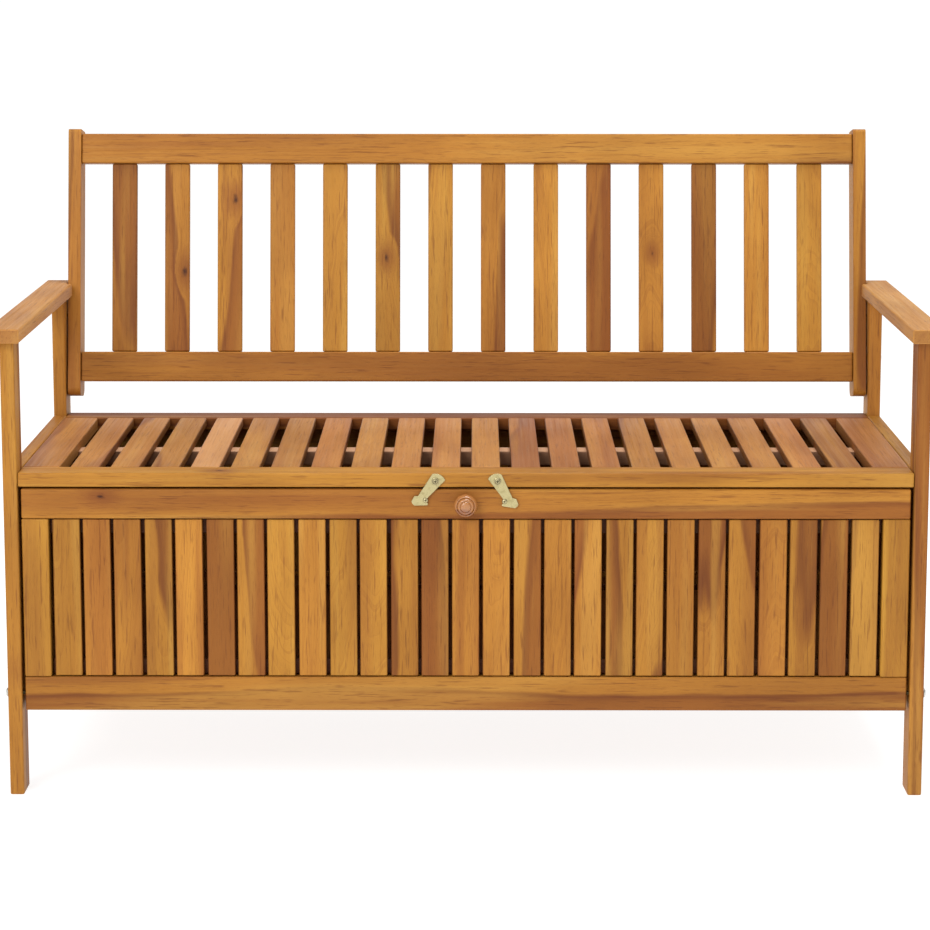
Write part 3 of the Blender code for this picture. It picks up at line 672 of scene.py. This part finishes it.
def make_flap_slats(material):
    node = "flap_slat_panel"
    low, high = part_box(node)
    stile_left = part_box("flap_stile_left")[1].x
    stile_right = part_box("flap_stile_right")[0].x
    timber = Timber()
    chance = random.Random(node)
    for number, (a, b) in enumerate(strips(stile_left, stile_right, FLAP_SLATS, WALL_GAP), 1):
        tone = tone_of(number, DARK_FLAP_SLATS, PALE_FLAP_SLATS)
        shift = chance.uniform(-SLAT_WANDER, SLAT_WANDER)
        slat_low, slat_high = with_range(low, high, 0, a + shift, b + shift)
        slat_high.y = low.y + SLAT_THICK
        cut = Cut(f"{node} {number}", high.z - low.z, tone)
        timber.slat(slat_low, slat_high, 2, 0, cut)
    # The battens are darkened with painted shade
    for number, z in enumerate((low.z, high.z - BATTEN_HEIGHT)):
        batten_low, batten_high = with_range(low, high, 2, z, z + BATTEN_HEIGHT)
        batten_low.y = low.y + SLAT_THICK - SLAT_LAP
        name = f"{node} batten {number}"
        cut = Cut(name, high.x - low.x, FLAP_BATTEN_SHADE_TONE, deep=FLAP_BATTEN_SHADE)
        timber.slat(batten_low, batten_high, 0, 2, cut)
    timber.piece(node, material)


def make_wall(node, material, across, outward, count, gap, ends):
    """A fixed wall of upright slats with two battens inside. Its slats are spread along one axis."""
    low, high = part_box(node)
    deep = 1 - across
    timber = Timber()
    outer = high[deep] if outward > 0 else low[deep]
    slat_inner = outer - outward * SLAT_THICK
    inner = low[deep] if outward > 0 else high[deep]
    slat_range = sorted((outer, slat_inner))
    batten_range = sorted((inner, slat_inner + outward * SLAT_LAP))
    for number, (a, b) in enumerate(strips(*ends, count, gap), 1):
        corners = with_range(*with_range(low, high, across, a, b), deep, *slat_range)
        cut = Cut(f"{node} {number}", high.z - low.z, WALL_TONE)
        timber.slat(*corners, 2, across, cut)
    for number, z in enumerate((low.z + BATTEN_INSET, high.z - BATTEN_INSET - BATTEN_HEIGHT)):
        corners = with_range(low, high, 2, z, z + BATTEN_HEIGHT)
        corners = with_range(*corners, deep, *batten_range)
        cut = Cut(f"{node} batten {number}", high[across] - low[across], WALL_TONE)
        timber.slat(*corners, across, 2, cut)
    timber.piece(node, material)


def make_walls(material):
    for side, sign in SIDES.items():
        rail_low, rail_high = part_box(f"side_top_rail_{side}")
        ends = (rail_low.y, rail_high.y)
        make_wall(f"side_slat_panel_{side}", material, 1, sign, SIDE_SLATS, WALL_GAP, ends)
    low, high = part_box("rear_slat_panel")
    ends = (low.x - CLOSED_GAP, high.x + CLOSED_GAP)
    make_wall("rear_slat_panel", material, 0, 1, REAR_SLATS, CLOSED_GAP, ends)


def make_deck(node, material, count, gap, ends, looks, corner=0.0):
    """Slats that run from front to rear on one batten that lies across under their middle."""
    low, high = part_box(node)
    slat_under = high.z - SLAT_THICK
    timber = Timber()
    for number, (a, b) in enumerate(strips(*ends, count, gap), 1):
        corners = with_range(*with_range(low, high, 0, a, b), 2, slat_under, high.z)
        cut = Cut(f"{node} {number}", high.y - low.y, **looks(number))
        timber.slat(*corners, 1, 0, cut, corner)
    middle = (low.y + high.y) / 2
    corners = with_range(low, high, 1, middle - WIDE_BATTEN / 2, middle + WIDE_BATTEN / 2)
    corners = with_range(*corners, 2, low.z, slat_under + SLAT_LAP)
    cut = Cut(f"{node} batten", high.x - low.x, DECK_BATTEN_TONE, pale=1.0)
    timber.slat(*corners, 0, 1, cut)
    timber.piece(node, material)


# The seat's slats take the painted sheen; the pale slat takes more pale wood instead
def seat_looks(number):
    pale = PALE_SLAT_SHARE if number in PALE_SEAT_SLATS else SEAT_SHEEN
    tone = SEAT_TONE + tone_of(number, DARK_SEAT_SLATS, PALE_SEAT_SLATS)
    return {"tone": tone, "hue": SEAT_HUE, "pale": pale}


# The floor's boards are darkened with painted shade
def floor_looks(number):
    return {"tone": FLOOR_SHADE_TONE, "deep": FLOOR_SHADE}


def make_decks(material):
    left_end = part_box("seat_end_board_left")[1].x
    right_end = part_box("seat_end_board_right")[0].x
    ends = (left_end, right_end)
    make_deck("seat_slat_panel", material, SEAT_SLATS, SEAT_SLOT, ends, seat_looks, SEAT_CORNER)
    low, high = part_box("floor_slat_panel")
    ends = (low.x - CLOSED_GAP, high.x + CLOSED_GAP)
    make_deck("floor_slat_panel", material, FLOOR_SLATS, CLOSED_GAP, ends, floor_looks)


def make_frame_boards(material):
    for side in SIDES:
        make_board(f"rear_leg_{side}", material)
        make_board(f"side_top_rail_{side}", material)
        make_board(f"side_bottom_rail_{side}", material)
        # The seat's end boards and the armrests take the seat's painted sheen
        make_board(f"seat_end_board_{side}", material, tone=0.1, hue=SEAT_HUE, pale=SEAT_SHEEN)
        make_shaped_board(f"armrest_{side}", material, tone=0.6, pale=SEAT_SHEEN)
    make_board("front_leg_left", material, tone=-0.2, knot=(-0.44, -0.5, 0.006))
    make_board("front_leg_right", material, tone=-0.3)
    for name in ("rear_top_rail", "rear_bottom_rail", "floor_front_rail", "floor_rear_rail"):
        make_board(name, material)
    make_board("seat_front_rail", material, tone=0.4, knot=(-0.55, -0.2, 0.006))
    make_board("seat_rear_rail", material, tone=-1.2, hue=-1.0)


def make_flap_frame(material):
    make_board("flap_top_rail", material, tone=0.1, knot=(-0.82, 0.5, 0.006))
    make_board("flap_bottom_rail", material, tone=-0.7)
    make_board("flap_stile_left", material, tone=0.5, hue=0.8)
    make_board("flap_stile_right", material, tone=0.7, hue=0.8)


def make_backrest(material):
    """The backrest's pieces, built upright in a frame that leans back."""
    turn = Matrix.Rotation(-LEAN, 3, "X")
    for side in SIDES:
        make_shaped_board(f"back_post_{side}", material, turn, radius=BOARD_EDGE)
    make_board("back_top_rail", material, turn, tone=-0.5, heart=-0.03)
    make_board("back_bottom_rail", material, turn, tone=-0.5)
    for number in range(1, BACK_SLATS + 1):
        tone = tone_of(number, DARK_BACK_SLATS, PALE_BACK_SLATS)
        knot = KNOTTY_BACK_SLATS.get(number)
        make_board(f"back_slat_{number:02d}", material, turn, tone=tone, knot=knot)


def turned_work(profile, towards, place):
    """A bmesh spun from (radius, height) points, standing at a place and pointing towards a direction."""
    work = bmesh.new()
    rim = [work.verts.new((radius, 0.0, height)) for radius, height in profile]
    edges = [work.edges.new(pair) for pair in zip(rim, rim[1:])]
    bmesh.ops.spin(
        work,
        geom=rim + edges,
        axis=(0, 0, 1),
        cent=(0, 0, 0),
        angle=2 * math.pi,
        steps=ROUND_STEPS,
    )
    bmesh.ops.remove_doubles(work, verts=work.verts, dist=WELD)
    bmesh.ops.recalc_face_normals(work, faces=work.faces)
    turn = Vector((0, 0, 1)).rotation_difference(Vector(towards)).to_matrix()
    bmesh.ops.rotate(work, matrix=turn, cent=(0, 0, 0), verts=work.verts)
    bmesh.ops.translate(work, vec=place, verts=work.verts)
    return work


def make_knob(material):
    """A turned knob: a waisted foot, a round head, and a bead cut round its crown."""
    low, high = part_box("knob")
    radius = (high.x - low.x) / 2
    length = high.y - low.y
    outline = KNOB_FOOT + KNOB_FLARE + KNOB_BEAD + KNOB_RING + KNOB_CROWN
    shape = [(r * radius, h * length) for r, h in outline]
    place = ((low.x + high.x) / 2, high.y, (low.z + high.z) / 2)
    timber = Timber()
    cut = Cut("knob", length, tone=-0.3, hue=-1.5, pale=0.25)
    timber.add(turned_work(shape, FORWARD, place), 1, 0, cut, end_stain=0.0)
    timber.piece("knob", material)


def cross_recess(size, depth):
    """Two crossed bars, which cut a screw's drive."""
    work = bmesh.new()
    for long, short in ((size, size * DRIVE_BAR), (size * DRIVE_BAR, size)):
        made = bmesh.ops.create_cube(work, size=1.0)
        bmesh.ops.scale(work, vec=(long, short, depth), verts=made["verts"])
    return work


def hex_recess(size, depth):
    work = bmesh.new()
    bmesh.ops.create_cone(
        work,
        cap_ends=True,
        segments=6,
        radius1=size / 2,
        radius2=size / 2,
        depth=depth,
    )
    return work


def object_from(work, name):
    mesh = bpy.data.meshes.new(name)
    work.to_mesh(mesh)
    work.free()
    obj = bpy.data.objects.new(name, mesh)
    bpy.context.scene.collection.objects.link(obj)
    return obj


def cut_drive(work, recess, top, towards, materials):
    """The head in the bmesh, with a recess cut into its crown and painted dark as shade."""
    head = object_from(work, "head")
    cutter = object_from(recess, "cutter")
    head.data.materials.append(materials[0])
    head.data.materials.append(materials[1])
    cutter.data.materials.append(materials[1])
    turn = Vector((0, 0, 1)).rotation_difference(Vector(towards))
    cutter.rotation_mode = "QUATERNION"
    cutter.rotation_quaternion = turn
    cutter.location = top
    cut = head.modifiers.new("Drive", "BOOLEAN")
    cut.object = cutter
    cut.solver = "EXACT"
    cut.use_self = True
    cut.material_mode = "TRANSFER"
    bpy.context.view_layer.update()
    graph = bpy.context.evaluated_depsgraph_get()
    mesh = bpy.data.meshes.new_from_object(head.evaluated_get(graph))
    bpy.data.objects.remove(head)
    bpy.data.objects.remove(cutter)
    return mesh


def darken_faces(mesh, top, axis, radius, head_height, ring):
    """Gives the shank, and the faces between two shares of the head's radius, the mesh's second material, a
    dark metal that paints shade.
    """
    for face in mesh.polygons:
        offset = face.center - top
        below = abs(offset[axis])
        offset[axis] = 0.0
        if below > head_height or ring[0] < offset.length / radius < ring[1]:
            face.material_index = 1


def make_fastener(node, towards, head, head_height, recess, materials, ring=NO_RING):
    """A screw or bolt. Towards is the way its head faces, and head holds (radius, height) shares."""
    low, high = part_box(node)
    towards = Vector(towards)
    axis = max(range(3), key=lambda i: abs(towards[i]))
    radius = (high[2] - low[2]) / 2
    middle = (low + high) / 2
    top = middle.copy()
    top[axis] = high[axis] if towards[axis] > 0 else low[axis]
    length = high[axis] - low[axis]
    shank = [(0.0, -length), (radius * SHANK, -length), (radius * SHANK, -head_height)]
    crown = [(r * radius, (h - 1) * head_height) for r, h in head]
    work = turned_work(shank + crown, towards, top)
    mesh = cut_drive(work, recess, top, towards, materials)
    darken_faces(mesh, top, axis, radius, head_height, ring)
    stand_for(node, mesh, None)


def make_bolts(side, outward, metals):
    for name in (f"flap_pivot_bolt_{side}", f"back_bolt_lower_{side}", f"back_bolt_upper_{side}"):
        drive = hex_recess(*BOLT_DRIVE)
        make_fastener(name, outward, PAN_HEAD, BOLT_HEAD_HEIGHT, drive, metals)


def make_latch_fasteners(side, metals):
    """The screw that a latch turns on, and the stud that it hooks."""
    make_fastener(
        f"latch_screw_{side}",
        FORWARD,
        CUP_HEAD,
        LATCH_SCREW_HEAD_HEIGHT,
        cross_recess(*SCREW_DRIVE),
        metals,
        SCREW_SHADE_RING,
    )
    make_fastener(
        f"latch_stud_{side}",
        FORWARD,
        MUSHROOM_HEAD,
        LATCH_STUD_HEAD_HEIGHT,
        cross_recess(*STUD_DRIVE),
        metals,
        STUD_SHADE_RING,
    )


def make_knob_screw(metals):
    drive = cross_recess(*SCREW_DRIVE)
    make_fastener("knob_screw", BACKWARD, PAN_HEAD, KNOB_SCREW_HEAD_HEIGHT, drive, metals)


def make_fasteners(brass, steel, recess_shade):
    for side, sign in SIDES.items():
        make_bolts(side, (sign, 0, 0), (steel, recess_shade))
        make_latch_fasteners(side, (brass, recess_shade))
    make_knob_screw((steel, recess_shade))


def make_latches(brass):
    for side in SIDES:
        node = f"latch_{side}"
        work = cad_copy(node, Matrix.Identity(3))
        round_edges(work, PLATE_EDGE, EDGE_STEPS)
        mesh = bpy.data.meshes.new(node + "_plate")
        work.to_mesh(mesh)
        work.free()
        stand_for(node, mesh, brass)


def make_floor():
    work = bmesh.new()
    bmesh.ops.create_grid(work, x_segments=1, y_segments=1, size=FLOOR_SIZE / 2)
    floor = object_from(work, "floor")
    net = Net("pale_floor")
    net.set(base_color=FLOOR_GREY, roughness=FLOOR_ROUGHNESS, specular_ior_level=0.0)
    net.set(emission_color=WHITE, emission_strength=FLOOR_GLOW)
    floor.data.materials.append(net.material)


def make_light(name, place, power):
    lamp = bpy.data.lights.new(name, "AREA")
    lamp.shape = "DISK"
    lamp.size = LAMP_SIZE
    lamp.energy = power
    obj = bpy.data.objects.new(name, lamp)
    bpy.context.scene.collection.objects.link(obj)
    obj.location = place
    obj.rotation_mode = "QUATERNION"
    obj.rotation_quaternion = (Vector(LAMP_TARGET) - Vector(place)).to_track_quat("-Z", "Y")


def make_world():
    """A white room, whose wall fades to a dimmer ceiling."""
    world = bpy.data.worlds.new("pale_studio")
    world.use_nodes = True
    tree = world.node_tree
    sky = tree.nodes["Background"]
    place = tree.nodes.new("ShaderNodeTexCoord")
    parts = tree.nodes.new("ShaderNodeSeparateXYZ")
    fade = tree.nodes.new("ShaderNodeMapRange")
    fade.interpolation_type = "SMOOTHSTEP"
    fade.inputs["From Min"].default_value = WALL_TOP
    fade.inputs["From Max"].default_value = CEILING_START
    fade.inputs["To Min"].default_value = WALL_GLOW
    fade.inputs["To Max"].default_value = CEILING_GLOW
    tree.links.new(place.outputs["Generated"], parts.inputs["Vector"])
    tree.links.new(parts.outputs["Z"], fade.inputs["Value"])
    tree.links.new(fade.outputs["Result"], sky.inputs["Strength"])
    sky.inputs["Color"].default_value = WHITE
    bpy.context.scene.world = world


def make_studio():
    make_world()
    make_light("key", KEY_PLACE, KEY_POWER)
    make_light("top", TOP_PLACE, TOP_POWER)
    make_floor()
    bpy.context.scene.view_settings.view_transform = "Standard"


def make_camera():
    data = bpy.data.cameras.new("camera")
    data.lens = CAMERA_LENS
    data.shift_y = CAMERA_SHIFT
    camera = bpy.data.objects.new("camera", data)
    bpy.context.scene.collection.objects.link(camera)
    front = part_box("front_leg_left")[0].y
    camera.location = (CAMERA_RIGHT, front - CAMERA_AHEAD, CAMERA_HEIGHT)
    camera.rotation_euler = (math.pi / 2 + CAMERA_PITCH, 0.0, CAMERA_YAW)
    bpy.context.scene.camera = camera


def main():
    wood = make_wood("oiled_hardwood", *OILED)
    glossy_wood = make_wood("polished_hardwood", *POLISHED)
    brass = make_metal("brass_plating", *FRESH_BRASS)
    worn_brass = make_metal("worn_brass", *WORN_BRASS)
    recess_shade = make_metal("painted_recess_shade", *RECESS_SHADE)
    steel = make_metal("zinc_plating", *ZINC)
    make_frame_boards(wood)
    make_flap_frame(wood)
    make_flap_slats(wood)
    make_walls(wood)
    make_decks(wood)
    make_backrest(wood)
    make_knob(glossy_wood)
    make_latches(brass)
    make_fasteners(worn_brass, steel, recess_shade)
    make_studio()
    make_camera()


main()
